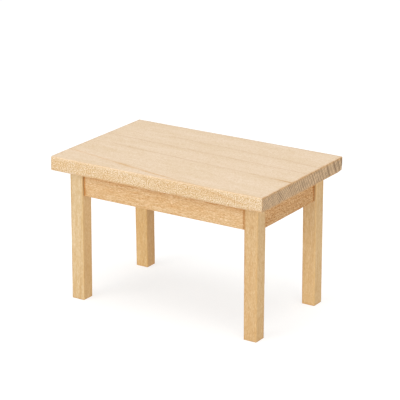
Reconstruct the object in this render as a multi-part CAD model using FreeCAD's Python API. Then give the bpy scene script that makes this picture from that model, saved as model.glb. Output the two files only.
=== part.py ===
import FreeCAD, Part
import os

# Dining table for a 1:12 dolls' house, in millimetres.
# The origin is on the floor under the middle of the table, +X runs along its length, +Z is up.

# The table's outline.
table_length = 100.0
table_width = 63.6
table_height = 62.3

# Tabletop: one solid board.
top_thickness = 5.9
top_corner_radius = 0.8     # its four upright corners
end_overhang = 5.4          # from the board's end to the legs' outer faces
side_overhang = 6.0         # from the board's side to the legs' outer faces

# Legs: four lengths of square stick.
leg_size = 6.1

# Aprons: four flat sticks between the legs, under the board.
apron_height = 11.0
apron_setback = 0.8         # behind the legs' faces, inside and out

# Sanding: every arris is eased.
board_easing = 0.35
leg_easing = 0.3

# Dowels: every joint is a glued butt joint with one dowel across it.
dowel_diameter = 2.0
dowel_chamfer = 0.25
glue_gap = 0.03             # round a dowel
end_gap = 0.2               # past a dowel's end, where spare glue collects
dowel_in_leg = 3.6          # crosswise, from the leg's face
dowel_in_apron = 4.0
dowel_in_leg_end = 3.2      # lengthwise, from the leg's upper end
dowel_in_top = 3.4
long_apron_dowel_drop = 5.5     # the dowel's axis below the board
short_apron_dowel_drop = 8.5    # lower, so that it passes under the other one in the leg

leg_length = table_height - top_thickness
leg_x = table_length / 2 - end_overhang - leg_size / 2
leg_y = table_width / 2 - side_overhang - leg_size / 2
apron_thickness = leg_size - 2 * apron_setback
long_apron_length = 2 * leg_x - leg_size
short_apron_length = 2 * leg_y - leg_size

ends = {"left": -1, "right": 1}
sides = {"front": -1, "back": 1}

pieces = {}


def stick(size_x, size_y, size_z):
    """A square-cornered block, centred across, standing on z = 0."""
    corner = FreeCAD.Vector(-size_x / 2, -size_y / 2, 0)
    return Part.makeBox(size_x, size_y, size_z, corner)


def is_upright(edge):
    return abs(edge.tangentAt(edge.FirstParameter).z) > 0.5


def upright_edges(shape):
    return [edge for edge in shape.Edges if is_upright(edge)]


def lying_edges(shape):
    return [edge for edge in shape.Edges if not is_upright(edge)]


def round_edges(shape):
    """The edges that are full circles."""
    return [edge for edge in shape.Edges if isinstance(edge.Curve, Part.Circle)]


def moved(shape, x, y, z):
    shape.translate(FreeCAD.Vector(x, y, z))
    return shape


def make_top():
    board = stick(table_length, table_width, top_thickness)
    board = board.makeFillet(top_corner_radius, upright_edges(board))
    board = board.makeFillet(board_easing, lying_edges(board))
    return moved(board, 0, 0, leg_length)


def make_leg(x, y):
    leg = stick(leg_size, leg_size, leg_length)
    leg = leg.makeFillet(leg_easing, leg.Edges)
    return moved(leg, x, y, 0)


def make_apron(size_x, size_y, x, y):
    apron = stick(size_x, size_y, apron_height)
    apron = apron.makeFillet(board_easing, apron.Edges)
    return moved(apron, x, y, leg_length - apron_height)


def join(dowel_name, first, second, place, direction, first_depth, second_depth):
    """Drill both pieces across their joint at place, and add the dowel that holds them.

    direction points from the first piece into the second.
    """
    radius = dowel_diameter / 2
    start = place - direction * first_depth
    dowel = Part.makeCylinder(radius, first_depth + second_depth, start, direction)
    dowel = dowel.makeChamfer(dowel_chamfer, round_edges(dowel))
    hole_start = start - direction * end_gap
    hole_length = first_depth + second_depth + 2 * end_gap
    hole = Part.makeCylinder(radius + glue_gap, hole_length, hole_start, direction)
    pieces[first] = pieces[first].cut(hole)
    pieces[second] = pieces[second].cut(hole)
    pieces[dowel_name] = dowel


pieces["tabletop"] = make_top()

for side, y_sign in sides.items():
    for end, x_sign in ends.items():
        pieces[f"leg_{side}_{end}"] = make_leg(x_sign * leg_x, y_sign * leg_y)

for side, y_sign in sides.items():
    pieces[f"apron_{side}"] = make_apron(long_apron_length, apron_thickness, 0, y_sign * leg_y)

for end, x_sign in ends.items():
    pieces[f"apron_{end}"] = make_apron(apron_thickness, short_apron_length, x_sign * leg_x, 0)

for side, y_sign in sides.items():
    for end, x_sign in ends.items():
        leg = f"leg_{side}_{end}"
        inward_x = FreeCAD.Vector(-x_sign, 0, 0)
        inward_y = FreeCAD.Vector(0, -y_sign, 0)
        upward = FreeCAD.Vector(0, 0, 1)
        leg_top = FreeCAD.Vector(x_sign * leg_x, y_sign * leg_y, leg_length)
        long_joint = leg_top + inward_x * (leg_size / 2) - upward * long_apron_dowel_drop
        short_joint = leg_top + inward_y * (leg_size / 2) - upward * short_apron_dowel_drop
        join(f"dowel_long_apron_{side}_{end}", leg, f"apron_{side}",
             long_joint, inward_x, dowel_in_leg, dowel_in_apron)
        join(f"dowel_short_apron_{side}_{end}", leg, f"apron_{end}",
             short_joint, inward_y, dowel_in_leg, dowel_in_apron)
        join(f"dowel_top_{side}_{end}", leg, "tabletop",
             leg_top, upward, dowel_in_leg_end, dowel_in_top)

os.makedirs("parts", exist_ok=True)
for name, shape in pieces.items():
    solid = shape.Solids[0]
    print(f"{name}: {len(shape.Solids)} solid, valid {solid.isValid()}, {solid.Volume:.1f} mm3")
    solid.exportStep(f"parts/{name}.step")
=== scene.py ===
import bpy
import bmesh
import math
from mathutils import Euler, Matrix, Vector, noise


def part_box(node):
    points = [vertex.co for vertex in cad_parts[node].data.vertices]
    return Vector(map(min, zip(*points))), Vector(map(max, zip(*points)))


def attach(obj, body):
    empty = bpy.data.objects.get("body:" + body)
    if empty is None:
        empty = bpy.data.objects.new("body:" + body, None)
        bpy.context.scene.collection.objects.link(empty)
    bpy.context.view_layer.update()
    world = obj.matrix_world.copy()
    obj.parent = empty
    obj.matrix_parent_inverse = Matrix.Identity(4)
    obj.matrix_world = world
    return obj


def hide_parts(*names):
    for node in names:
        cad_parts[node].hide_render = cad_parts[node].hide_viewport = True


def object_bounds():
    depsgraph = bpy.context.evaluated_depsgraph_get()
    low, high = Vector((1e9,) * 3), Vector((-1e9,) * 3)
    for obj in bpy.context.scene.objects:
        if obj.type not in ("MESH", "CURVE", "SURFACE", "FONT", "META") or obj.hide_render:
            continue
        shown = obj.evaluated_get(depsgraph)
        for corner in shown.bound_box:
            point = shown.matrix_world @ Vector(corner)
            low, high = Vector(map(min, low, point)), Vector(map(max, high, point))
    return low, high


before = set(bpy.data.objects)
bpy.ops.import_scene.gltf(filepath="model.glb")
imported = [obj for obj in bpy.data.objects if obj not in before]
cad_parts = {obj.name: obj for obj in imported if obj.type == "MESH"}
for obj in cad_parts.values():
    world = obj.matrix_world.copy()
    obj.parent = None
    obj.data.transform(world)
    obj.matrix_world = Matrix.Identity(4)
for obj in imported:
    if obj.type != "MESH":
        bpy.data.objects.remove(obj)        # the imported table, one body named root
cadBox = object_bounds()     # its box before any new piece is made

mm = 0.001
body = "root"
alongAxis = {"x": 0, "y": 1, "z": 2}
ends = ("left", "right")
sides = ("front", "back")

sanding = {
    "segments": 4,              # faces across an eased arris
    "arrisWave": 3.5 * mm,      # length of the waves along an arris
    "dentWave": 1.6 * mm,
    "dentLevel": 0.32,          # noise above this makes a dent
    "faceWave": 14 * mm,        # length of the waves on a face
    "tintReach": 1.8,           # how far an arris's colour reaches, in easings
    "glueAndShadeReach": 1.3 * mm,      # how far the glue stain and painted shade reach beside a joint
    "sharpAbove": math.radians(60),     # an edge steeper than this is an arris to ease
    "smoothBelow": math.radians(50),
    "margin": 1.4,              # from a face's border to its first cut, in easings
}

drilling = {
    "glueGap": 0.03 * mm,       # round a dowel
    "endGap": 0.2 * mm,         # past its end
    "square": 1.2,              # the patch that a hole is cut in, in hole radii
    "inset": 0.12 * mm,         # the ring of faces round its mouth
    "cone": 0.35 * mm,          # left by the drill's point
    "cuts": 3,
}


def boxMesh(node):
    low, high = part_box(node)
    bm = bmesh.new()
    bmesh.ops.create_cube(bm, size=1.0)
    bmesh.ops.scale(bm, vec=high - low, verts=bm.verts)
    bmesh.ops.translate(bm, vec=(low + high) / 2, verts=bm.verts)
    return bm, low, high


def longestAxis(size):
    return max(range(3), key=lambda axis: size[axis])


def sharpEdges(bm):
    return [edge for edge in bm.edges if edge.calc_face_angle(0) > sanding["sharpAbove"]]


def runsAlong(edge, axis):
    run = edge.verts[1].co - edge.verts[0].co
    return abs(run[axis]) > 0.9 * run.length


def ease(bm, edges, radius, segments):
    bmesh.ops.bevel(bm, geom=edges, offset=radius, offset_type="OFFSET", segments=segments,
                    profile=0.5, affect="EDGES", material=-1)


def cutAcross(bm, axis, place):
    normal = Vector((0, 0, 0))
    normal[axis] = 1
    everything = bm.verts[:] + bm.edges[:] + bm.faces[:]
    bmesh.ops.bisect_plane(bm, geom=everything, dist=1e-7, plane_co=normal * place, plane_no=normal)


def divide(bm, low, high, settings, holes):
    margin = sanding["margin"] * max(settings["easing"], *settings.get("corners", {"none": 0}).values())
    for axis in range(3):
        span = high[axis] - low[axis] - 2 * margin
        count = max(1, round(span / settings["cell"]))
        places = [low[axis] + margin + span * step / count for step in range(count + 1)]
        for hole in holes:
            if hole["axis"] != axis:
                half = hole["radius"] * drilling["square"]
                places += [hole["mouth"][axis] - half, hole["mouth"][axis] + half]
        for place in places:
            cutAcross(bm, axis, place)


def roundCorners(bm, corners):
    for corner, radius in corners.items():
        side, end = corner.split()
        x = 1 if end == "right" else -1
        y = 1 if side == "back" else -1
        upright = [edge for edge in sharpEdges(bm) if runsAlong(edge, 2)]
        upright = [edge for edge in upright if edge.verts[0].co.x * x > 0 and edge.verts[0].co.y * y > 0]
        ease(bm, upright, radius, sanding["segments"] + 2)


def easeArrises(bm, axis, settings):
    if "endEasing" in settings:
        long = [edge for edge in sharpEdges(bm) if runsAlong(edge, axis)]
        ease(bm, long, settings["easing"], sanding["segments"])
    ease(bm, sharpEdges(bm), settings.get("endEasing", settings["easing"]), sanding["segments"])


def holeIn(dowel, low, high):
    start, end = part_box(dowel)
    size = end - start
    axis = longestAxis(size)
    mouth = (start + end) / 2
    atLow = start[axis] < low[axis] < end[axis]
    mouth[axis] = low[axis] if atLow else high[axis]
    inner = end[axis] if atLow else start[axis]
    inward = Vector((0, 0, 0))
    inward[axis] = 1 if atLow else -1
    return {
        "axis": axis,
        "mouth": mouth,
        "inward": inward,
        "radius": min(size) / 2 + drilling["glueGap"],
        "depth": abs(inner - mouth[axis]) + drilling["endGap"],
    }


def drill(bm, hole):
    axis = hole["axis"]
    others = [i for i in range(3) if i != axis]
    half = hole["radius"] * drilling["square"]

    def inPatch(face):
        away = face.calc_center_median() - hole["mouth"]
        near = abs(away[axis]) < hole["radius"] * 0.3
        return near and all(abs(away[i]) < half for i in others) and face.normal.dot(hole["inward"]) < -0.9

    patch = [face for face in bm.faces if inPatch(face)]
    if len(patch) > 1:
        patch = bmesh.ops.dissolve_faces(bm, faces=patch)["region"]
    inner = patch[0]
    bmesh.ops.inset_individual(bm, faces=[inner], thickness=drilling["inset"])
    bmesh.ops.subdivide_edges(bm, edges=inner.edges[:], cuts=drilling["cuts"])
    for vert in inner.verts:
        away = vert.co - hole["mouth"]
        away[axis] = 0
        vert.co = hole["mouth"] + away.normalized() * hole["radius"]
    bottom = bmesh.ops.extrude_discrete_faces(bm, faces=[inner])["faces"][0]
    bmesh.ops.translate(bm, vec=hole["inward"] * hole["depth"], verts=bottom.verts[:])
    tip = bmesh.ops.poke(bm, faces=[bottom])["verts"]
    bmesh.ops.translate(bm, vec=hole["inward"] * drilling["cone"], verts=tip)


def wearDown(bm, low, high, settings, seed):
    bm.normal_update()
    litArris = bm.verts.layers.float.new("litArris")            # painted highlight on the arrises that face the lit side
    shadedArris = bm.verts.layers.float.new("shadedArris")      # painted shade on the arrises that face away from the lit side
    glueAndShade = bm.verts.layers.float.new("glueAndShade")              # glue stain and painted shade beside a joint, painted shade below the board
    # the lit side: arrises facing it get a painted highlight, the others painted shade
    litDirection = Vector(settings["litSide"]).normalized()
    shift = Vector((seed * 7.31, seed * 3.77, seed * 5.19))
    joints = [(axis, high if side > 0 else low, reach) for axis, side, reach in settings["jointFaces"]]
    middle = (low + high) / 2
    moves = []
    for vert in bm.verts:
        depths = [min(vert.co[i] - low[i], high[i] - vert.co[i]) for i in range(3)]
        outer = [max(0, 1 - depth / (sanding["tintReach"] * settings["easing"])) for depth in depths]
        outer = Vector([math.copysign(outer[i], vert.co[i] - middle[i]) for i in range(3)]).normalized()
        depths.sort()
        arris = min(1, max(0, 1 - depths[1] / settings["easing"]) / 0.7)
        tinted = min(1, max(0, sanding["tintReach"] - depths[1] / settings["easing"]))
        share = min(1, max(0, (outer.dot(litDirection) - 0.7) / 0.12))
        vert[litArris] = tinted * share
        vert[shadedArris] = tinted * (1 - share)
        gaps = [abs(vert.co[axis] - corner[axis]) / reach for axis, corner, reach in joints]
        # darker beside each joint: glue stain, and painted shade where the parts meet
        vert[glueAndShade] = max([min(1, 1.5 - 1.5 * gap) for gap in gaps] + [0])
        wave = 0.5 + 0.5 * noise.noise(vert.co / sanding["arrisWave"] + shift)
        dent = max(0, noise.noise(vert.co / sanding["dentWave"] - shift) - sanding["dentLevel"])
        face = 0.5 + 0.5 * noise.noise(vert.co / sanding["faceWave"] + shift * 2)
        wear = arris * (settings["arrisWear"] * wave + settings["dents"] * dent)
        moves.append((vert, vert.normal * -(wear + settings["unevenness"] * face)))
    for vert, move in moves:
        vert.co += move


def knockCorner(bm, low, high, knock):
    size = high - low
    place = low + Vector([size[i] * knock["at"][i] for i in range(3)])
    inward = ((low + high) / 2 - place).normalized()
    inward = (inward + Vector(knock["push"])).normalized()
    for vert in bm.verts:
        near = max(0, 1 - (vert.co - place).length / knock["reach"])
        vert.co += inward * knock["depth"] * near * near


def bend(bm, low, high, settings):
    along = alongAxis[settings["along"]]
    out = alongAxis[settings["out"]]
    middle = (low[along] + high[along]) / 2
    half = (high[along] - low[along]) / 2
    for vert in bm.verts:
        part = (vert.co[along] - middle) / half
        vert.co[out] += settings["by"] * (1 - part * part)


def stand(bm, low, high, stance, heldShare):
    middle = (low + high) / 2
    for vert in bm.verts:
        down = (high.z - vert.co.z) / (high.z - low.z)
        down = max(0, down - heldShare) / (1 - heldShare)
        vert.co.x += (stance["leanX"] - (vert.co.x - middle.x) * stance["taper"]) * down
        vert.co.y += (stance["leanY"] - (vert.co.y - middle.y) * stance["taper"]) * down


def newPiece(name, bm, node):
    bmesh.ops.recalc_face_normals(bm, faces=bm.faces)
    mesh = bpy.data.meshes.new(name)
    bm.to_mesh(mesh)
    bm.free()
    mesh.shade_smooth()
    mesh.set_sharp_from_angle(angle=sanding["smoothBelow"])
    piece = bpy.data.objects.new(name, mesh)
    bpy.context.scene.collection.objects.link(piece)
    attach(piece, body)
    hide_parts(node)
    return piece


def makeBoard(name, node, settings, dowels, seed):
    bm, low, high = boxMesh(node)
    holes = [holeIn(dowel, low, high) for dowel in dowels]
    divide(bm, low, high, settings, holes)
    roundCorners(bm, settings.get("corners", {}))
    easeArrises(bm, longestAxis(high - low), settings)
    wearDown(bm, low, high, settings, seed)
    for hole in holes:
        drill(bm, hole)
    for knock in settings.get("knocks", []):
        knockCorner(bm, low, high, knock)
    if "bend" in settings:
        bend(bm, low, high, settings["bend"])
    if "stance" in settings:
        stand(bm, low, high, settings["stance"], settings["heldShare"])
    return newPiece(name, bm, node)


tabletop = {
    "easing": 0.32 * mm,
    "corners": {
        "front left": 0.8 * mm, "front right": 0.4 * mm, "back left": 0.3 * mm, "back right": 0.8 * mm,
    },
    "cell": 1.25 * mm,
    "unevenness": 0.02 * mm,
    "arrisWear": 0.05 * mm,
    "dents": 0.3 * mm,
    # arrises facing this side get a painted highlight, the others painted shade
    "litSide": (0.45, -1, 0.5),
    "jointFaces": [],
    "knocks": [
        {"at": (1, 1, 0), "push": (0, 0, 1.5), "reach": 4.5 * mm, "depth": 0.45 * mm},
        {"at": (0, 0, 1), "push": (0, 0, 0), "reach": 3 * mm, "depth": 0.25 * mm},
        {"at": (1, 0, 0), "push": (0, 0, 0.5), "reach": 3 * mm, "depth": 0.2 * mm},
    ],
}

legs = {
    "easing": 0.28 * mm,
    "endEasing": 0.15 * mm,
    "cell": 0.9 * mm,
    "unevenness": 0.02 * mm,
    "arrisWear": 0.05 * mm,
    "dents": 0.25 * mm,
    # arrises facing this side get a painted highlight, the others painted shade
    "litSide": (1, -1, 0),
    "heldShare": 0.2,           # of its length, kept straight by the aprons
    "jointFaces": [(2, 1, sanding["glueAndShadeReach"])],   # axis, which end of it, how far the glue stain and painted shade go
}

stances = {
    "leg_front_left": {"leanX": -0.3 * mm, "leanY": -0.15 * mm, "taper": 0.02},
    "leg_front_right": {"leanX": -0.1 * mm, "leanY": -0.05 * mm, "taper": 0.035},
    "leg_back_left": {"leanX": 0.25 * mm, "leanY": 0.15 * mm, "taper": 0.04},
    "leg_back_right": {"leanX": 0.15 * mm, "leanY": 0.1 * mm, "taper": 0.02},
}

aprons = {
    "easing": 0.28 * mm,
    "endEasing": 0.15 * mm,
    "cell": 0.9 * mm,
    "unevenness": 0.03 * mm,
    "arrisWear": 0.06 * mm,
    "dents": 0.25 * mm,
    # arrises facing this side get a painted highlight, the others painted shade
    "litSide": (0, 0, 1),
    "boardShadeReach": 3.9 * mm,     # painted shade below the board, down the apron's top
}

bends = {
    "apron_front": {"along": "x", "out": "y", "by": -0.08 * mm},
    "apron_back": {"along": "x", "out": "y", "by": -0.05 * mm},
    "apron_left": {"along": "y", "out": "x", "by": 0.03 * mm},
    "apron_right": {"along": "y", "out": "x", "by": 0.04 * mm},
}

dowelPins = {
    "segments": 24,
    "chamfer": 0.25 * mm,
    "flutes": 8,
    "fluteDepth": 0.05 * mm,
}


def makeDowel(name, node):
    start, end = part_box(node)
    size = end - start
    axis = longestAxis(size)
    radius = min(size) / 2
    bm = bmesh.new()
    bmesh.ops.create_cone(bm, cap_ends=True, segments=dowelPins["segments"], radius1=radius, radius2=radius,
                          depth=size[axis])
    ease(bm, sharpEdges(bm), dowelPins["chamfer"], 2)
    for vert in bm.verts:
        away = Vector((vert.co.x, vert.co.y, 0))
        turn = math.atan2(vert.co.y, vert.co.x) * dowelPins["flutes"]
        if away.length > radius * 0.95:
            vert.co -= away.normalized() * dowelPins["fluteDepth"] * (0.5 - 0.5 * math.cos(turn))
    direction = Vector((0, 0, 0))
    direction[axis] = 1
    turned = direction.to_track_quat("Z", "Y").to_matrix().to_4x4()
    bmesh.ops.transform(bm, matrix=Matrix.Translation((start + end) / 2) @ turned, verts=bm.verts)
    return newPiece(name, bm, node)


pieces = {}
dowelsIn = {"tabletop": []}
for side in sides:
    for end in ends:
        leg = f"leg_{side}_{end}"
        long = f"dowel_long_apron_{side}_{end}"
        short = f"dowel_short_apron_{side}_{end}"
        top = f"dowel_top_{side}_{end}"
        dowelsIn[leg] = [long, short, top]
        dowelsIn.setdefault(f"apron_{side}", []).append(long)
        dowelsIn.setdefault(f"apron_{end}", []).append(short)
        dowelsIn["tabletop"].append(top)
        for node in (long, short, top):
            pieces[node] = makeDowel(f"{node}_pin", node)
print("dowels:", len(pieces))

pieces["tabletop"] = makeBoard("tabletop_board", "tabletop", tabletop, dowelsIn["tabletop"], 1)
print("tabletop:", len(pieces["tabletop"].data.vertices), "points")

for number, leg in enumerate(stances):
    settings = dict(legs, stance=stances[leg])
    pieces[leg] = makeBoard(f"{leg}_stick", leg, settings, dowelsIn[leg], 11 + number)
print("legs:", len(stances))

for number, apron in enumerate(bends):
    along = alongAxis[bends[apron]["along"]]
    # painted shade below the board; glue stain and painted shade at both ends
    settings = dict(aprons, bend=bends[apron], jointFaces=[
        (2, 1, aprons["boardShadeReach"]), (along, -1, sanding["glueAndShadeReach"]), (along, 1, sanding["glueAndShadeReach"])])
    pieces[apron] = makeBoard(f"{apron}_stick", apron, settings, dowelsIn[apron], 31 + number)
print("aprons:", len(bends))


def addNode(tree, kind, **settings):
    node = tree.nodes.new(kind)
    for key, value in settings.items():
        setattr(node, key, value)
    return node


def feed(tree, socket, value):
    if isinstance(value, bpy.types.NodeSocket):
        tree.links.new(value, socket)
    else:
        socket.default_value = value


def maths(tree, operation, *values, clamp=False):
    node = addNode(tree, "ShaderNodeMath", operation=operation, use_clamp=clamp)
    for socket, value in zip(node.inputs, values):
        feed(tree, socket, value)
    return node.outputs[0]


def vectorMaths(tree, operation, first, second):
    node = addNode(tree, "ShaderNodeVectorMath", operation=operation)
    feed(tree, node.inputs[0], first)
    feed(tree, node.inputs["Scale" if operation == "SCALE" else 1], second)
    return node.outputs["Value" if operation == "DOT_PRODUCT" else "Vector"]


def ramp(tree, value, fromLow, fromHigh, toLow=0.0, toHigh=1.0, smooth=True):
    node = addNode(tree, "ShaderNodeMapRange", interpolation_type="SMOOTHSTEP" if smooth else "LINEAR")
    for socket, number in zip(node.inputs, (value, fromLow, fromHigh, toLow, toHigh)):
        feed(tree, socket, number)
    return node.outputs[0]


def mixColours(tree, factor, first, second):
    node = addNode(tree, "ShaderNodeMix", data_type="RGBA")
    feed(tree, node.inputs[0], factor)
    feed(tree, node.inputs[6], first)
    feed(tree, node.inputs[7], second)
    return node.outputs[2]


def stretched(tree, vector, sizes):
    return vectorMaths(tree, "MULTIPLY", vector, Vector([1 / size for size in sizes]))


def noiseOf(tree, vector, detail=2.0, roughness=0.5, output="Fac"):
    node = addNode(tree, "ShaderNodeTexNoise")
    feed(tree, node.inputs["Vector"], vector)
    feed(tree, node.inputs["Scale"], 1.0)
    feed(tree, node.inputs["Detail"], detail)
    feed(tree, node.inputs["Roughness"], roughness)
    return node.outputs[output]


def parted(tree, vector):
    node = addNode(tree, "ShaderNodeSeparateXYZ")
    feed(tree, node.inputs[0], vector)
    return node.outputs[0], node.outputs[1], node.outputs[2]


def joined(tree, x, y, z):
    node = addNode(tree, "ShaderNodeCombineXYZ")
    for socket, value in zip(node.inputs, (x, y, z)):
        feed(tree, socket, value)
    return node.outputs[0]


def newGroup(name, inputs, outputs):
    tree = bpy.data.node_groups.new(name, "ShaderNodeTree")
    for label, value in inputs.items():
        kind = {float: "Float", str: "Vector", tuple: "Color"}[type(value)]
        socket = tree.interface.new_socket(label, in_out="INPUT", socket_type="NodeSocket" + kind)
        if kind != "Vector":
            socket.default_value = value
    for label, kind in outputs.items():
        tree.interface.new_socket(label, in_out="OUTPUT", socket_type="NodeSocket" + kind)
    return tree, tree.nodes.new("NodeGroupInput").outputs, tree.nodes.new("NodeGroupOutput").inputs


def placeGroup(tree, group, values):
    node = addNode(tree, "ShaderNodeGroup", node_tree=group)
    for key, value in values.items():
        feed(tree, node.inputs[key], value)
    return node.outputs


vector = "vector"               # a group input that is always linked
white = (1.0, 1.0, 1.0, 1.0)


# growth rings round a leaning pith, wider apart further out
def makeRingGroup():
    tree, given, result = newGroup(
        "growthRings",
        {"Vector": vector, "Pith": vector, "Lean": vector, "Reference": 0.05, "Spacing": 0.001,
         "Growth": 1.0, "Wander": 0.0005, "Seed": 0.0},
        {"Radius": "Float", "Late": "Float", "Tone": "Float", "Ray": "Float", "Along": "Float"})
    waves = stretched(tree, given["Vector"], (35 * mm, 12 * mm, 12 * mm))
    waves = vectorMaths(tree, "ADD", waves, given["Seed"])
    drift = vectorMaths(tree, "SUBTRACT", noiseOf(tree, waves, output="Color"), (0.5, 0.5, 0.5))
    drift = vectorMaths(tree, "SCALE", drift, given["Wander"])
    place = vectorMaths(tree, "ADD", vectorMaths(tree, "SUBTRACT", given["Vector"], given["Pith"]), drift)
    x, y, z = parted(tree, place)
    leanX, leanY, leanZ = parted(tree, given["Lean"])
    across = maths(tree, "MULTIPLY_ADD", x, leanY, y)
    up = maths(tree, "MULTIPLY_ADD", x, leanZ, z)
    squares = maths(tree, "ADD", maths(tree, "MULTIPLY", across, across), maths(tree, "MULTIPLY", up, up))
    radius = maths(tree, "SQRT", squares)
    grown = maths(tree, "DIVIDE", maths(tree, "SUBTRACT", given["Reference"], radius), given["Growth"])
    perSpacing = maths(tree, "DIVIDE", given["Growth"], given["Spacing"])
    count = maths(tree, "MULTIPLY", maths(tree, "EXPONENT", grown), perSpacing)
    phase = maths(tree, "SUBTRACT", 1.0, maths(tree, "FRACT", count))
    rising = ramp(tree, phase, 0.3, 0.9)
    falling = ramp(tree, phase, 0.93, 1.0, 1.0, 0.0)
    tone = addNode(tree, "ShaderNodeTexWhiteNoise", noise_dimensions="1D")
    feed(tree, tone.inputs["W"], maths(tree, "ADD", maths(tree, "FLOOR", count), given["Seed"]))
    arc = maths(tree, "MULTIPLY", maths(tree, "ARCTAN2", up, across), given["Reference"])
    rays = stretched(tree, joined(tree, x, arc, radius), (1.3 * mm, 0.45 * mm, 3.5 * mm))
    ray = noiseOf(tree, rays, roughness=0.6)
    feed(tree, result["Radius"], radius)
    feed(tree, result["Late"], maths(tree, "MULTIPLY", rising, falling))
    feed(tree, result["Tone"], tone.outputs["Value"])
    feed(tree, result["Ray"], ramp(tree, ray, 0.3, 0.7, -1.0, 1.0, smooth=False))
    feed(tree, result["Along"], maths(tree, "ADD", x, parted(tree, given["Pith"])[0]))
    return tree


# one strong ring, as a tint that runs from Start to Finish along the grain
def makeMarkGroup():
    tree, given, result = newGroup(
        "ringMark",
        {"Tint": white, "Radius": 0.0, "Along": 0.0, "At": 0.0, "Width": 0.0005, "Strength": 0.0,
         "Skew": 0.0, "Start": -0.06, "Finish": 0.06, "Mark": white},
        {"Tint": "Color"})
    at = maths(tree, "MULTIPLY_ADD", given["Along"], given["Skew"], given["At"])
    away = maths(tree, "DIVIDE", maths(tree, "SUBTRACT", given["Radius"], at), given["Width"])
    square = maths(tree, "MULTIPLY", away, away)
    line = maths(tree, "EXPONENT", maths(tree, "MULTIPLY", square, -1.0))
    halo = maths(tree, "EXPONENT", maths(tree, "MULTIPLY", maths(tree, "ABSOLUTE", away), -0.35))
    halo = maths(tree, "MULTIPLY", halo, ramp(tree, away, -0.5, 0.5, 0.4, 0.1))     # softer towards the pith
    line = maths(tree, "ADD", halo, line)
    fadeIn = ramp(tree, maths(tree, "SUBTRACT", given["Along"], given["Start"]), -6 * mm, 6 * mm)
    fadeOut = ramp(tree, maths(tree, "SUBTRACT", given["Finish"], given["Along"]), -6 * mm, 6 * mm)
    along = stretched(tree, joined(tree, given["Along"], given["Radius"], 0.0), (7 * mm, 1.5 * mm, 1))
    patchy = ramp(tree, noiseOf(tree, along), 0.3, 0.7, 0.6, 1.3, smooth=False)
    line = maths(tree, "MULTIPLY", line, maths(tree, "MULTIPLY", fadeIn, fadeOut))
    line = maths(tree, "MULTIPLY", line, maths(tree, "MULTIPLY", patchy, given["Strength"]), clamp=True)
    tint = mixColours(tree, line, white, given["Mark"])
    feed(tree, result["Tint"], vectorMaths(tree, "MULTIPLY", given["Tint"], tint))
    return tree


# along the grain and across it
fibreSizes = {
    "fibre": (6 * mm, 0.34 * mm, 0.34 * mm),
    "fleck": (1.9 * mm, 0.5 * mm, 0.5 * mm),
    "speckle": (0.8 * mm, 0.62 * mm, 0.62 * mm),
    "cloud": (26 * mm, 5 * mm, 5 * mm),
}


def makeFibreGroup():
    tree, given, result = newGroup(
        "fibres",
        {"Vector": vector, "Seed": 0.0, "Grit Length": 0.001, "Grit Width": 0.0003},
        {"Fibre": "Float", "Fleck": "Float", "Speckle": "Float", "Grit": "Float", "Cloud": "Float"})
    moved = vectorMaths(tree, "ADD", given["Vector"], vectorMaths(tree, "SCALE", (mm, mm, mm), given["Seed"]))
    fibre = noiseOf(tree, stretched(tree, moved, fibreSizes["fibre"]), detail=2.0, roughness=0.6)
    fleck = noiseOf(tree, stretched(tree, moved, fibreSizes["fleck"]), detail=2.0, roughness=0.6)
    speckle = noiseOf(tree, stretched(tree, moved, fibreSizes["speckle"]), detail=3.0, roughness=0.7)
    width = given["Grit Width"]
    grain = vectorMaths(tree, "DIVIDE", moved, joined(tree, given["Grit Length"], width, width))
    grit = noiseOf(tree, grain, detail=2.0, roughness=0.8)
    cloud = noiseOf(tree, stretched(tree, moved, fibreSizes["cloud"]), detail=3.0)
    feed(tree, result["Fibre"], ramp(tree, fibre, 0.3, 0.7, -1.0, 1.0, smooth=False))
    feed(tree, result["Fleck"], ramp(tree, fleck, 0.55, 0.72))
    feed(tree, result["Speckle"], ramp(tree, speckle, 0.32, 0.68, -1.0, 1.0, smooth=False))
    feed(tree, result["Grit"], ramp(tree, grit, 0.33, 0.67, -1.0, 1.0, smooth=False))
    feed(tree, result["Cloud"], ramp(tree, cloud, 0.3, 0.7, -1.0, 1.0, smooth=False))
    return tree


def makeFacingGroup():
    tree, given, result = newGroup(
        "facing",
        {"Normal": vector, "Grain": vector},
        {"End": "Float", "Upper": "Float", "Flank": "Float"})
    alongGrain = maths(tree, "ABSOLUTE", vectorMaths(tree, "DOT_PRODUCT", given["Normal"], given["Grain"]))
    upward = vectorMaths(tree, "DOT_PRODUCT", given["Normal"], (0, 0, 1))
    feed(tree, result["End"], ramp(tree, alongGrain, 0.35, 0.85))
    flank = maths(tree, "ABSOLUTE", parted(tree, given["Normal"])[0])
    feed(tree, result["Upper"], ramp(tree, upward, 0.35, 0.85))
    feed(tree, result["Flank"], ramp(tree, flank, 0.35, 0.85))
    return tree


woodSurface = {
    "gritTint": (0.75, 1.2, 2.0),       # grit changes blue most, so it reads as orange and cream
    "endGrit": 0.34,
    "endMark": 0.15,                    # how much of a strong ring's tint the end grain takes
    "upperSpeckle": -0.55,              # the upper face is sanded finer, so it shows less of each
    "upperGrit": -0.75,
    "upperFleck": -0.7,
    "rough": 0.62,
    "fibreRough": 0.04,
    "ringRough": -0.08,
    "endRough": 0.12,
    # less rough where the arris shade is painted
    "shadedArrisRough": -0.12,
}


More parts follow.
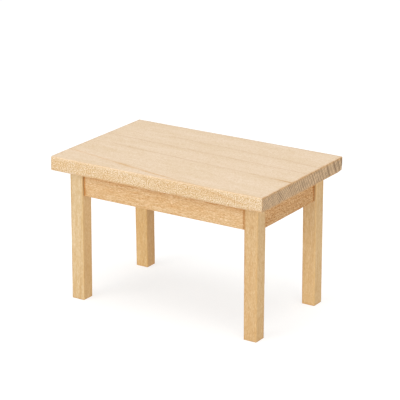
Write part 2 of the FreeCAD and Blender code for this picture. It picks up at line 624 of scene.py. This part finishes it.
def makeWoodGroup():
    tree, given, result = newGroup(
        "sandedWood",
        {"Late": 0.0, "Tone": 0.0, "Ray": 0.0, "Tint": white, "Fibre": 0.0, "Fleck": 0.0, "Speckle": 0.0,
         "Grit": 0.0, "Cloud": 0.0, "End": 0.0, "Upper": 0.0, "Flank": 0.0, "Lit Arris": 0.0, "Shaded Arris": 0.0,
         "Glue And Shade": 0.0, "Shift": 0.0, "Flank Shade Tint": white,
         "Pale": white, "Warm": white, "Upper Pale": white, "Upper Warm": white, "Ring": white, "Pore": white,
         "End Pale": white, "End Dark": white, "Arris Highlight": white, "Arris Shade": white, "Glue And Shade Tint": white,
         "Upper Share": 0.0, "Ring Share": 0.3, "Fibre Share": 0.2, "Fleck Share": 0.2, "Speckle Share": 0.3,
         "Cloud Share": 0.2, "Grit Share": 0.1, "Ray Share": 0.1, "Arris Shade Share": 0.7, "Glue And Shade Share": 0.7},
        {"Colour": "Color", "Roughness": "Float", "Height": "Float"})
    ringTone = ramp(tree, given["Tone"], 0.0, 1.0, 0.4, 1.0, smooth=False)
    ringTone = maths(tree, "MULTIPLY", given["Late"], ringTone)
    upper = maths(tree, "MULTIPLY", given["Upper"], given["Upper Share"])
    fine = maths(tree, "MULTIPLY", given["Speckle"], given["Speckle Share"])
    fine = maths(tree, "MULTIPLY", fine, maths(tree, "MULTIPLY_ADD", upper, woodSurface["upperSpeckle"], 1.0))
    tone = maths(tree, "MULTIPLY_ADD", given["Fibre"], given["Fibre Share"], fine)
    tone = maths(tree, "MULTIPLY_ADD", given["Cloud"], given["Cloud Share"], tone)
    shift = maths(tree, "MULTIPLY", given["Shift"], maths(tree, "SUBTRACT", 1.0, upper))
    tone = maths(tree, "ADD", tone, shift)
    tone = maths(tree, "ADD", tone, 0.5, clamp=True)
    side = mixColours(tree, tone, given["Pale"], given["Warm"])
    top = mixColours(tree, tone, given["Upper Pale"], given["Upper Warm"])
    side = mixColours(tree, upper, side, top)
    side = mixColours(tree, maths(tree, "MULTIPLY", ringTone, given["Ring Share"]), side,
                      vectorMaths(tree, "MULTIPLY", side, given["Ring"]))
    side = vectorMaths(tree, "MULTIPLY", side, given["Tint"])
    grit = maths(tree, "MULTIPLY", given["Grit"], given["Grit Share"])
    grit = maths(tree, "MULTIPLY", grit, maths(tree, "MULTIPLY_ADD", upper, woodSurface["upperGrit"], 1.0))
    grit = vectorMaths(tree, "SCALE", woodSurface["gritTint"], grit)
    side = vectorMaths(tree, "MULTIPLY", side, vectorMaths(tree, "ADD", grit, (1.0, 1.0, 1.0)))
    # painted shade or light on the faces that look left and right
    side = mixColours(tree, given["Flank"], side, vectorMaths(tree, "MULTIPLY", side, given["Flank Shade Tint"]))
    flecks = maths(tree, "MULTIPLY", given["Fleck"], given["Fleck Share"])
    flecksLeft = maths(tree, "MULTIPLY_ADD", upper, woodSurface["upperFleck"], 1.0)
    flecks = maths(tree, "MULTIPLY", flecks, flecksLeft)
    side = mixColours(tree, flecks, side, vectorMaths(tree, "MULTIPLY", side, given["Pore"]))
    cross = mixColours(tree, ringTone, given["End Pale"], given["End Dark"])
    rays = maths(tree, "MULTIPLY_ADD", given["Ray"], given["Ray Share"], 1.0)
    rays = maths(tree, "MULTIPLY_ADD", given["Grit"], woodSurface["endGrit"], rays)
    tint = mixColours(tree, woodSurface["endMark"], white, given["Tint"])
    cross = vectorMaths(tree, "MULTIPLY", vectorMaths(tree, "MULTIPLY", cross, rays), tint)
    colour = mixColours(tree, given["End"], side, cross)
    # painted highlight on the arrises that face the lit side
    litArris = maths(tree, "MULTIPLY", given["Lit Arris"], ramp(tree, given["Speckle"], -1.0, 1.0, 0.2, 0.7))
    colour = mixColours(tree, litArris, colour, given["Arris Highlight"])
    # painted shade on the arrises that face away from the lit side, broken into patches
    shadeBreakup = ramp(tree, maths(tree, "ADD", given["Fibre"], given["Cloud"]), -0.7, 0.6, 0.35, 1.0)
    shadedArris = maths(tree, "MULTIPLY", given["Shaded Arris"], given["Arris Shade Share"])
    shadedArris = maths(tree, "MULTIPLY", shadedArris, shadeBreakup)
    colour = mixColours(tree, shadedArris, colour, given["Arris Shade"])
    # glue stain and painted shade beside joints and below the board
    glue = maths(tree, "MULTIPLY", given["Glue And Shade"], given["Glue And Shade Share"])
    colour = mixColours(tree, glue, colour, vectorMaths(tree, "MULTIPLY", colour, given["Glue And Shade Tint"]))
    rough = maths(tree, "MULTIPLY_ADD", given["Fibre"], woodSurface["fibreRough"], woodSurface["rough"])
    rough = maths(tree, "MULTIPLY_ADD", ringTone, woodSurface["ringRough"], rough)
    rough = maths(tree, "MULTIPLY_ADD", given["End"], woodSurface["endRough"], rough)
    rough = maths(tree, "MULTIPLY_ADD", shadedArris, woodSurface["shadedArrisRough"], rough)
    height = maths(tree, "MULTIPLY_ADD", given["Fibre"], 0.25, maths(tree, "MULTIPLY", ringTone, 0.5))
    height = maths(tree, "MULTIPLY_ADD", given["Fleck"], -0.5, height)
    height = maths(tree, "MULTIPLY_ADD", given["Speckle"], 0.2, height)
    feed(tree, result["Colour"], colour)
    feed(tree, result["Roughness"], rough)
    feed(tree, result["Height"], height)
    return tree


groups = {
    "rings": makeRingGroup(),
    "mark": makeMarkGroup(),
    "fibres": makeFibreGroup(),
    "facing": makeFacingGroup(),
    "wood": makeWoodGroup(),
}
print("node groups:", len(groups))

turns = {
    "x": (0, 0, 0),
    "y": (0, 0, math.radians(-90)),
    "z": (0, math.radians(90), 0),
}


def shade(colour, spread, amount):
    return (*[part * (1 + amount * wide) for part, wide in zip(colour, spread)], 1.0)


def makeWood(name, node, look, seed):
    material = bpy.data.materials.new(name)
    material.use_nodes = True
    tree = material.node_tree
    shader = tree.nodes["Principled BSDF"]
    low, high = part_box(node)
    turn = Euler(turns[look["grain"]])
    place = addNode(tree, "ShaderNodeTexCoord")
    centred = addNode(tree, "ShaderNodeMapping", vector_type="POINT")
    feed(tree, centred.inputs["Vector"], place.outputs["Object"])
    feed(tree, centred.inputs["Rotation"], turn)
    feed(tree, centred.inputs["Location"], -(turn.to_matrix() @ ((low + high) / 2)))
    rings = placeGroup(tree, groups["rings"], {
        "Vector": centred.outputs[0], "Pith": look["pith"], "Lean": look["lean"],
        "Reference": look["reference"], "Spacing": look["spacing"], "Growth": look["growth"],
        "Wander": look["wander"], "Seed": seed})
    tint = white
    for mark in look["marks"]:
        tint = placeGroup(tree, groups["mark"], {
            "Tint": tint, "Radius": rings["Radius"], "Along": rings["Along"], **mark})["Tint"]
    fibres = placeGroup(tree, groups["fibres"], {
        "Vector": centred.outputs[0], "Seed": seed, "Grit Length": look["gritLength"],
        "Grit Width": look["gritWidth"]})
    grain = Vector((0, 0, 0))
    grain[alongAxis[look["grain"]]] = 1
    facing = placeGroup(tree, groups["facing"], {"Normal": place.outputs["Normal"], "Grain": grain})
    start, finish, amount = look["fade"]
    colour, spread = look["colour"], look["spread"]
    upperColour = look.get("upperColour", colour)
    wood = placeGroup(tree, groups["wood"], {
        "Late": rings["Late"], "Tone": rings["Tone"], "Ray": rings["Ray"], "Tint": tint,
        "Fibre": fibres["Fibre"], "Fleck": fibres["Fleck"], "Speckle": fibres["Speckle"],
        "Grit": fibres["Grit"], "Cloud": fibres["Cloud"],
        "End": facing["End"], "Upper": facing["Upper"], "Flank": facing["Flank"],
        # masks of the painted arris highlight and shade, and of the glue stain and painted shade at joints
        "Lit Arris": addNode(tree, "ShaderNodeAttribute", attribute_name="litArris").outputs["Fac"],
        "Shaded Arris": addNode(tree, "ShaderNodeAttribute", attribute_name="shadedArris").outputs["Fac"],
        "Glue And Shade": addNode(tree, "ShaderNodeAttribute", attribute_name="glueAndShade").outputs["Fac"],
        "Shift": ramp(tree, rings["Along"], start, finish, 0.0, amount),
        "Pale": shade(colour, spread, 1), "Warm": shade(colour, spread, -1),
        "Upper Pale": shade(upperColour, look["upperSpread"], 1),
        "Upper Warm": shade(upperColour, look["upperSpread"], -1),
        "Ring": (*look["ringTint"], 1.0), "Pore": (*look["poreTint"], 1.0),
        "End Pale": shade(look["endColour"], look["endSpread"], 1),
        "End Dark": shade(look["endColour"], look["endSpread"], -1),
        # painted highlight colour for the arrises that face the lit side
        "Arris Highlight": shade(colour, look["arrisHighlight"], 1),
        # painted shade colour for the arrises that face away from the lit side
        "Arris Shade": shade(colour, look["arrisShade"], 1),
        # colour of the glue stain and painted shade at joints
        "Glue And Shade Tint": (*look["glueAndShadeTint"], 1.0), "Flank Shade Tint": (*look["flankShadeTint"], 1.0),
        **look["shares"]})
    bump = addNode(tree, "ShaderNodeBump")
    feed(tree, bump.inputs["Distance"], look["relief"])
    feed(tree, bump.inputs["Strength"], 1.0)
    feed(tree, bump.inputs["Height"], wood["Height"])
    feed(tree, shader.inputs["Base Color"], wood["Colour"])
    feed(tree, shader.inputs["Roughness"], wood["Roughness"])
    feed(tree, shader.inputs["Normal"], bump.outputs[0])
    shader.inputs["Specular IOR Level"].default_value = look["shine"]
    return material


legWood = {
    "grain": "z",
    "pith": (0, -20 * mm, -9 * mm),
    "lean": (0, 0.01, 0.015),
    "reference": 20 * mm,
    "spacing": 1.3 * mm,
    "growth": 200 * mm,
    "wander": 1.0 * mm,
    "marks": [],
    "fade": (-20 * mm, 25 * mm, 0.0),       # warmer from here to here along the grain, by how much
    "gritLength": 1.3 * mm,
    "gritWidth": 0.34 * mm,
    "relief": 0.02 * mm,
    "shine": 0.3,
    "colour": (0.56, 0.40, 0.22),
    "spread": (0.06, 0.13, 0.26),
    "upperSpread": (0.06, 0.13, 0.26),
    "ringTint": (0.88, 0.78, 0.62),
    "poreTint": (0.80, 0.66, 0.46),
    "endColour": (0.38, 0.25, 0.13),
    "endSpread": (0.25, 0.3, 0.4),
    # painted highlight on the arrises that face the lit side
    "arrisHighlight": (0.12, 0.1, -0.05),
    # painted shade on the arrises that face away from the lit side
    "arrisShade": (-0.2, -0.42, -0.75),
    # colour of the glue stain and painted shade at joints
    "glueAndShadeTint": (0.78, 0.55, 0.28),
    "flankShadeTint": (1.0, 1.0, 1.0),           # painted shade or light on the faces that look left and right
    "shares": {
        "Ring Share": 0.35, "Fibre Share": 0.42, "Fleck Share": 0.12, "Speckle Share": 0.08,
        "Cloud Share": 0.15, "Grit Share": 0.14, "Ray Share": 0.1, "Arris Shade Share": 0.9, "Glue And Shade Share": 0.8,
    },
}

# each leg's left and right faces get painted shade or light, as the light falls on that leg
legLooks = {
    "leg_front_left": {"colour": (0.566, 0.402, 0.216), "fade": (-26 * mm, 26 * mm, -0.35),
                       "flankShadeTint": (1.03, 0.94, 0.80)},
    "leg_front_right": {"colour": (0.535, 0.344, 0.162), "fade": (-26 * mm, 26 * mm, -0.45),
                        "flankShadeTint": (1.02, 1.03, 1.02),
                        "shares": dict(legWood["shares"], **{"Grit Share": 0.18})},
    "leg_back_left": {"colour": (0.618, 0.404, 0.182), "lean": (0, 0.12, 0.12),
                      "pith": (0, -14 * mm, -12 * mm), "reference": 18 * mm, "flankShadeTint": (0.89, 0.81, 0.76)},
    "leg_back_right": {"colour": (0.593, 0.399, 0.199), "lean": (0, 0.03, 0.05),
                       "flankShadeTint": (0.98, 0.98, 0.96)},
}

apronWood = dict(
    legWood, pith=(0, -8 * mm, -30 * mm), reference=30 * mm, spacing=1.7 * mm, lean=(0, 0.02, 0.02),
    colour=(0.604, 0.40, 0.21), spread=(0.07, 0.15, 0.28), gritLength=1.1 * mm,
    shares={
        "Ring Share": 0.4, "Fibre Share": 0.75, "Fleck Share": 0.2, "Speckle Share": 0.08,
        "Cloud Share": 0.2, "Grit Share": 0.28, "Ray Share": 0.1, "Arris Shade Share": 0.9, "Glue And Shade Share": 1.0,
    })

apronLooks = {
    "apron_front": {"grain": "x"},
    "apron_back": {"grain": "x", "colour": (0.58, 0.385, 0.20)},
    "apron_left": {"grain": "y", "colour": (0.57, 0.38, 0.195)},
    "apron_right": {"grain": "y", "colour": (0.51, 0.291, 0.12),
                    "shares": dict(apronWood["shares"], **{"Grit Share": 0.55, "Fibre Share": 1.0})},
}

dowelWood = dict(legWood, colour=(0.50, 0.35, 0.19))

brownRing = (0.80, 0.70, 0.58, 1.0)
orangeRing = (0.86, 0.68, 0.44, 1.0)

topWood = dict(
    legWood,
    grain="x",
    pith=(-50 * mm, -64 * mm, -31 * mm),
    lean=(0, 0.02, 0.06),
    reference=77 * mm,
    spacing=1.4 * mm,
    growth=36 * mm,
    wander=2.5 * mm,
    fade=(10 * mm, 48 * mm, -0.45),
    colour=(0.587, 0.428, 0.26),
    spread=(0.05, 0.12, 0.25),
    upperColour=(0.65, 0.515, 0.375),
    upperSpread=(0.05, 0.07, 0.13),
    endColour=(0.353, 0.234, 0.134),
    endSpread=(0.38, 0.45, 0.52),
    # painted highlight on the arrises that face the lit side
    arrisHighlight=(0.08, 0.12, 0.2),
    # painted shade on the arrises that face away from the lit side
    arrisShade=(-0.18, -0.4, -0.65),
    gritLength=0.52 * mm,
    gritWidth=0.36 * mm,
    marks=[
        {"At": 89.4 * mm, "Width": 0.32 * mm, "Strength": 0.45, "Start": -25 * mm, "Mark": brownRing},
        {"At": 80.0 * mm, "Width": 0.32 * mm, "Strength": 0.45, "Skew": 0.008, "Mark": brownRing},
        {"At": 69.9 * mm, "Width": 0.32 * mm, "Strength": 0.47, "Skew": -0.01, "Start": -38 * mm,
         "Mark": brownRing},
        {"At": 69.9 * mm, "Width": 0.32 * mm, "Strength": 0.9, "Skew": -0.01, "Start": 44 * mm,
         "Mark": orangeRing},
        {"At": 52.2 * mm, "Width": 0.45 * mm, "Strength": 0.35, "Skew": -0.083, "Mark": orangeRing},
        {"At": 52.2 * mm, "Width": 0.35 * mm, "Strength": 0.3, "Skew": -0.083, "Start": -26 * mm,
         "Finish": 8 * mm, "Mark": orangeRing},
    ],
    shares={
        "Upper Share": 1.0, "Ring Share": 0.12, "Fibre Share": 0.36, "Fleck Share": 0.4,
        "Speckle Share": 0.3, "Cloud Share": 0.3, "Grit Share": 0.5, "Ray Share": 0.3,
        "Arris Shade Share": 0.65, "Glue And Shade Share": 0.0,
    })


def finish(node, look, seed, slot):
    pieces[node].data.materials.append(makeWood(f"{node}_wood", node, look, seed))


finish("tabletop", topWood, 3.0, "tabletop_wood")
for number, leg in enumerate(legLooks):
    finish(leg, dict(legWood, **legLooks[leg]), 10.0 + 5 * number, "leg_wood")
for number, apron in enumerate(apronLooks):
    finish(apron, dict(apronWood, **apronLooks[apron]), 40.0 + 5 * number, "apron_wood")
for node in pieces:
    if node.startswith("dowel"):
        low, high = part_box(node)
        grain = "xyz"[longestAxis(high - low)]
        finish(node, dict(dowelWood, grain=grain), 70.0, "dowel_wood")
print("woods:", len(bpy.data.materials))

studio = {
    "floorSize": 6.0,
    "floorColour": (0.32, 0.32, 0.32),
    "floorGlow": 0.72,              # keeps it nearly white, with a faint shadow
    "floorRoughness": 0.9,
    "floorShine": 0.1,
    "skyColour": (1.0, 1.0, 1.0),
    "skyStrength": 0.33,
    "backdropStrength": 1.0,        # the sky as the camera sees it
}

softboxes = {
    "overhead": {"turn": 20, "lift": 85, "away": 1.6, "size": 1.5, "power": 24, "colour": (1, 0.99, 0.97)},
    "frontLeft": {"turn": -26, "lift": 21, "away": 0.9, "size": 0.7, "power": 4, "colour": (1, 0.97, 0.91)},
    "right": {"turn": 60, "lift": 12, "away": 0.9, "size": 0.6, "power": 3.2, "colour": (1, 0.97, 0.91)},
}

camera = {
    "turn": 32.863,        # degrees round from the front, towards the right end
    "lift": 18.675,        # degrees above level
    "tilt": -0.074,
    "away": 0.75467,
    "lookAt": (-0.00091, 0.00399, 0.04233),
    "lens": 165.84,
    "sensor": 36,
    "near": 0.01,
}


def outward(turn, lift):
    turn = math.radians(turn)
    lift = math.radians(lift)
    return Vector((math.sin(turn) * math.cos(lift), -math.cos(turn) * math.cos(lift), math.sin(lift)))


def makeFloor():
    bm = bmesh.new()
    bmesh.ops.create_grid(bm, x_segments=1, y_segments=1, size=studio["floorSize"] / 2)
    mesh = bpy.data.meshes.new("floor")
    bm.to_mesh(mesh)
    bm.free()
    floor = bpy.data.objects.new("floor", mesh)
    bpy.context.scene.collection.objects.link(floor)
    material = bpy.data.materials.new("paleFloor")
    material.use_nodes = True
    shader = material.node_tree.nodes["Principled BSDF"]
    shader.inputs["Base Color"].default_value = (*studio["floorColour"], 1.0)
    shader.inputs["Roughness"].default_value = studio["floorRoughness"]
    shader.inputs["Specular IOR Level"].default_value = studio["floorShine"]
    shader.inputs["Emission Color"].default_value = white
    shader.inputs["Emission Strength"].default_value = studio["floorGlow"]
    mesh.materials.append(material)


def makeLight(name, settings, target):
    light = bpy.data.lights.new(name, "AREA")
    light.shape = "DISK"
    light.size = settings["size"]
    light.energy = settings["power"]
    light.color = settings["colour"]
    holder = bpy.data.objects.new(name, light)
    direction = outward(settings["turn"], settings["lift"])
    holder.location = target + direction * settings["away"]
    holder.rotation_euler = direction.to_track_quat("Z", "Y").to_euler()
    holder.visible_camera = False
    bpy.context.scene.collection.objects.link(holder)


def makeSky():
    world = bpy.data.worlds.new("studio")
    world.use_nodes = True
    tree = world.node_tree
    background = tree.nodes["Background"]
    seen = addNode(tree, "ShaderNodeLightPath").outputs["Is Camera Ray"]
    strength = ramp(tree, seen, 0.0, 1.0, studio["skyStrength"], studio["backdropStrength"], smooth=False)
    feed(tree, background.inputs["Color"], (*studio["skyColour"], 1.0))
    feed(tree, background.inputs["Strength"], strength)
    bpy.context.scene.world = world


def makeCamera():
    data = bpy.data.cameras.new("camera")
    data.lens = camera["lens"]
    data.sensor_width = camera["sensor"]
    data.clip_start = camera["near"]
    holder = bpy.data.objects.new("camera", data)
    direction = outward(camera["turn"], camera["lift"])
    holder.location = Vector(camera["lookAt"]) + direction * camera["away"]
    facing = direction.to_track_quat("Z", "Y").to_matrix()
    holder.rotation_euler = (facing @ Matrix.Rotation(math.radians(camera["tilt"]), 3, "Z")).to_euler()
    bpy.context.scene.collection.objects.link(holder)
    bpy.context.scene.camera = holder


makeFloor()
middle = (Vector(cadBox[0]) + Vector(cadBox[1])) / 2
for name, settings in softboxes.items():
    makeLight(name, settings, middle)
makeSky()
makeCamera()
bpy.context.scene.view_settings.view_transform = "Standard"
print("studio: floor, light and camera")
